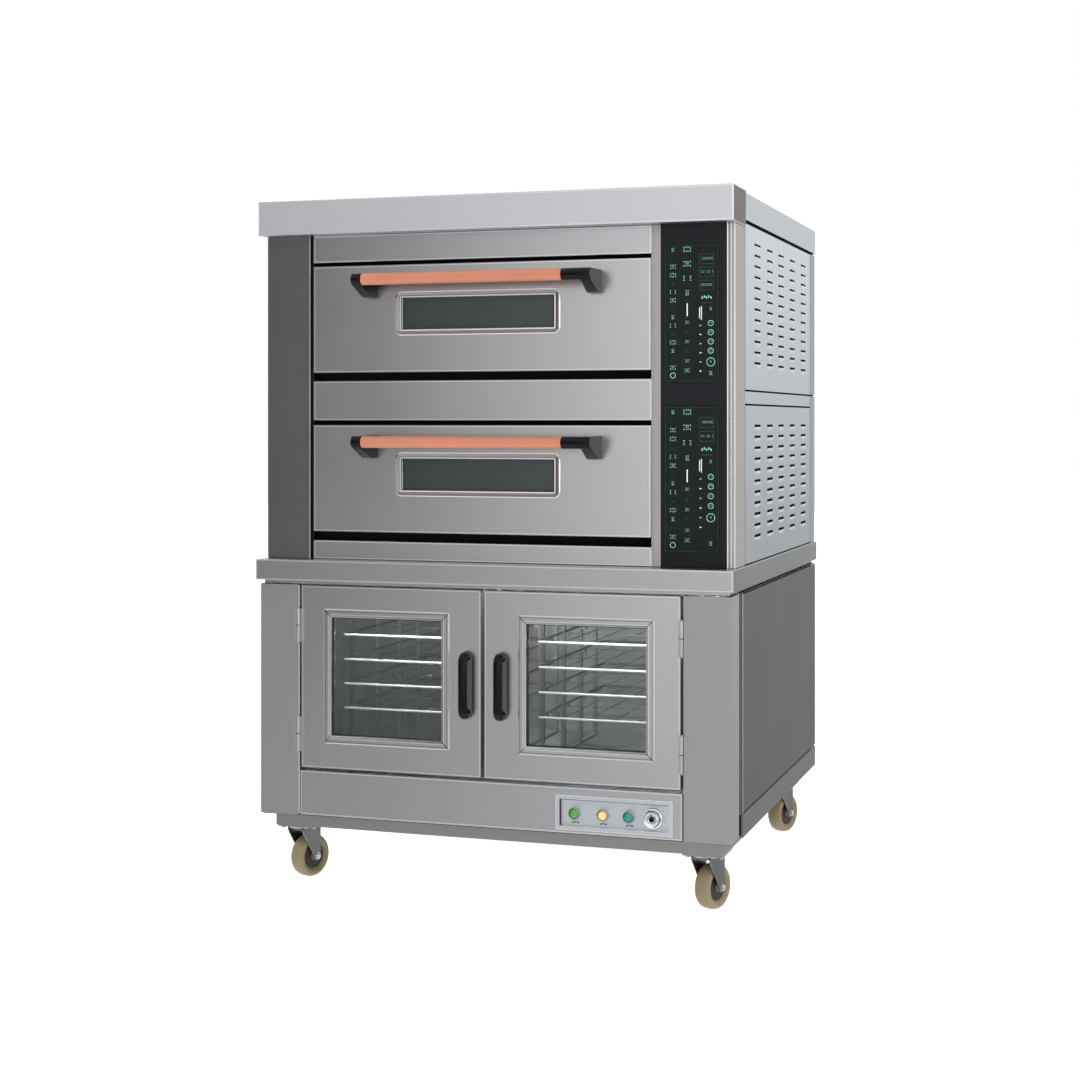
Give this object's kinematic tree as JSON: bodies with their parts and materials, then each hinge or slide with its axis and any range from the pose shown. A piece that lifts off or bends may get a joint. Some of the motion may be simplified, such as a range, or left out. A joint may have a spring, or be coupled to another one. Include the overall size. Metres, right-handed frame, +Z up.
{
  "type": "bakery oven and proofing cabinet",
  "caption": "Electric deck oven with drop-down doors, standing on a glazed proofing cabinet with tray shelves, control buttons and swivel castors.",
  "frame": {"origin": "middle of the footprint, on the floor under the castors", "axes": "+Z up, +X to the user's right when facing the doors, the doors face -Y"},
  "size_m": [1.225, 1.2024, 1.719],
  "materials": {
    "stainless": "grained stainless sheet, vertical grain",
    "side_panel": "matt stainless sheet",
    "liner": "dull stainless lining",
    "black_panel": "satin black",
    "touch_panel": "black glass-like film with pale green key marks",
    "oven_glass": "dark tinted glass",
    "proofer_glass": "clear glass",
    "grip": "salmon orange, satin",
    "black_plastic": "black moulded plastic",
    "wire": "bright plated wire",
    "zinc": "grey plated pressed steel",
    "tyre": "cream nylon",
    "chrome": "polished",
    "lens_green": "green lens",
    "lens_yellow": "yellow lens",
    "lens_teal": "teal lens"
  },
  "bodies": {
    "root": {"front_cornice": "stainless", "oven_left_post": "stainless", "oven_right_post": "stainless", "top_fascia": "stainless", "middle_fascia": "stainless", "bottom_fascia": "stainless", "worktop": "stainless", "proofer_left_post": "stainless", "proofer_right_post": "stainless", "lower_fascia": "stainless", "control_plate": "stainless", "base_frame": "stainless", "roof_cover": "side_panel", "oven_side_left": "side_panel", "oven_side_right": "side_panel", "oven_back": "side_panel", "proofer_walls": "side_panel", "control_column": "black_panel", "touch_panel_upper": "touch_panel", "touch_panel_lower": "touch_panel", "chamber_upper": "liner", "chamber_lower": "liner", "proofer_floor": "liner", "rack_left": "wire", "rack_centre": "wire", "rack_right": "wire", "shelf_left_1": "wire", "shelf_left_2": "wire", "shelf_left_3": "wire", "shelf_left_4": "wire", "shelf_right_1": "wire", "shelf_right_2": "wire", "shelf_right_3": "wire", "shelf_right_4": "wire"},
    "upper_door": {"upper_door_shell": "stainless", "upper_door_glass": "oven_glass", "upper_handle_frame": "black_plastic", "upper_handle_grip": "grip"},
    "lower_door": {"lower_door_shell": "stainless", "lower_door_glass": "oven_glass", "lower_handle_frame": "black_plastic", "lower_handle_grip": "grip"},
    "proofer_left_door": {"proofer_left_door_shell": "stainless", "proofer_left_door_glass": "proofer_glass", "proofer_left_door_handle": "black_plastic"},
    "proofer_right_door": {"proofer_right_door_shell": "stainless", "proofer_right_door_glass": "proofer_glass", "proofer_right_door_handle": "black_plastic"},
    "button_green": {"push_button_green": "lens_green"},
    "button_yellow": {"push_button_yellow": "lens_yellow"},
    "button_teal": {"push_button_teal": "lens_teal"},
    "knob": {"control_knob": "chrome"},
    "castor_front_left": {"castor_fork_front_left": "zinc"},
    "wheel_front_left": {"castor_wheel_front_left": "tyre"},
    "castor_front_right": {"castor_fork_front_right": "zinc"},
    "wheel_front_right": {"castor_wheel_front_right": "tyre"},
    "castor_rear_left": {"castor_fork_rear_left": "zinc"},
    "wheel_rear_left": {"castor_wheel_rear_left": "tyre"},
    "castor_rear_right": {"castor_fork_rear_right": "zinc"},
    "wheel_rear_right": {"castor_wheel_rear_right": "tyre"}
  },
  "joints": [
    {"name": "upper_door_hinge", "type": "hinge", "parent": "root", "child": "upper_door", "pos_m": [-0.037, -0.48475, 1.293], "axis": [1, 0, 0], "range_deg": [0, 90]},
    {"name": "lower_door_hinge", "type": "hinge", "parent": "root", "child": "lower_door", "pos_m": [-0.037, -0.48475, 0.894], "axis": [1, 0, 0], "range_deg": [0, 90]},
    {"name": "proofer_left_door_hinge", "type": "hinge", "parent": "root", "child": "proofer_left_door", "pos_m": [-0.5005, -0.54235, 0.527], "axis": [0, 0, -1], "range_deg": [0, 120]},
    {"name": "proofer_right_door_hinge", "type": "hinge", "parent": "root", "child": "proofer_right_door", "pos_m": [0.4865, -0.54235, 0.527], "axis": [0, 0, 1], "range_deg": [0, 120]},
    {"name": "button_green_press", "type": "slide", "parent": "root", "child": "button_green", "axis": [0, 1, 0], "range_m": [0, 0.003], "stiffness_N_per_m": 500},
    {"name": "button_yellow_press", "type": "slide", "parent": "root", "child": "button_yellow", "axis": [0, 1, 0], "range_m": [0, 0.003], "stiffness_N_per_m": 500},
    {"name": "button_teal_press", "type": "slide", "parent": "root", "child": "button_teal", "axis": [0, 1, 0], "range_m": [0, 0.003], "stiffness_N_per_m": 500},
    {"name": "knob_turn", "type": "hinge", "parent": "root", "child": "knob", "pos_m": [0.416, -0.53675, 0.2285], "axis": [0, 1, 0], "range_deg": [0, 270]},
    {"name": "castor_front_left_swivel", "type": "hinge", "parent": "root", "child": "castor_front_left", "pos_m": [-0.528, -0.44875, 0.13], "axis": [0, 0, 1], "continuous": true},
    {"name": "wheel_front_left_spin", "type": "hinge", "parent": "castor_front_left", "child": "wheel_front_left", "pos_m": [-0.52048, -0.42808, 0.054], "axis": [0.9397, -0.342, 0], "continuous": true},
    {"name": "castor_front_right_swivel", "type": "hinge", "parent": "root", "child": "castor_front_right", "pos_m": [0.528, -0.44875, 0.13], "axis": [0, 0, 1], "continuous": true},
    {"name": "wheel_front_right_spin", "type": "hinge", "parent": "castor_front_right", "child": "wheel_front_right", "pos_m": [0.53552, -0.42808, 0.054], "axis": [0.9397, -0.342, 0], "continuous": true},
    {"name": "castor_rear_left_swivel", "type": "hinge", "parent": "root", "child": "castor_rear_left", "pos_m": [-0.528, 0.44825, 0.13], "axis": [0, 0, 1], "continuous": true},
    {"name": "wheel_rear_left_spin", "type": "hinge", "parent": "castor_rear_left", "child": "wheel_rear_left", "pos_m": [-0.52048, 0.46892, 0.054], "axis": [0.9397, -0.342, 0], "continuous": true},
    {"name": "castor_rear_right_swivel", "type": "hinge", "parent": "root", "child": "castor_rear_right", "pos_m": [0.528, 0.44825, 0.13], "axis": [0, 0, 1], "continuous": true},
    {"name": "wheel_rear_right_spin", "type": "hinge", "parent": "castor_rear_right", "child": "wheel_rear_right", "pos_m": [0.53552, 0.46892, 0.054], "axis": [0.9397, -0.342, 0], "continuous": true}
  ]
}
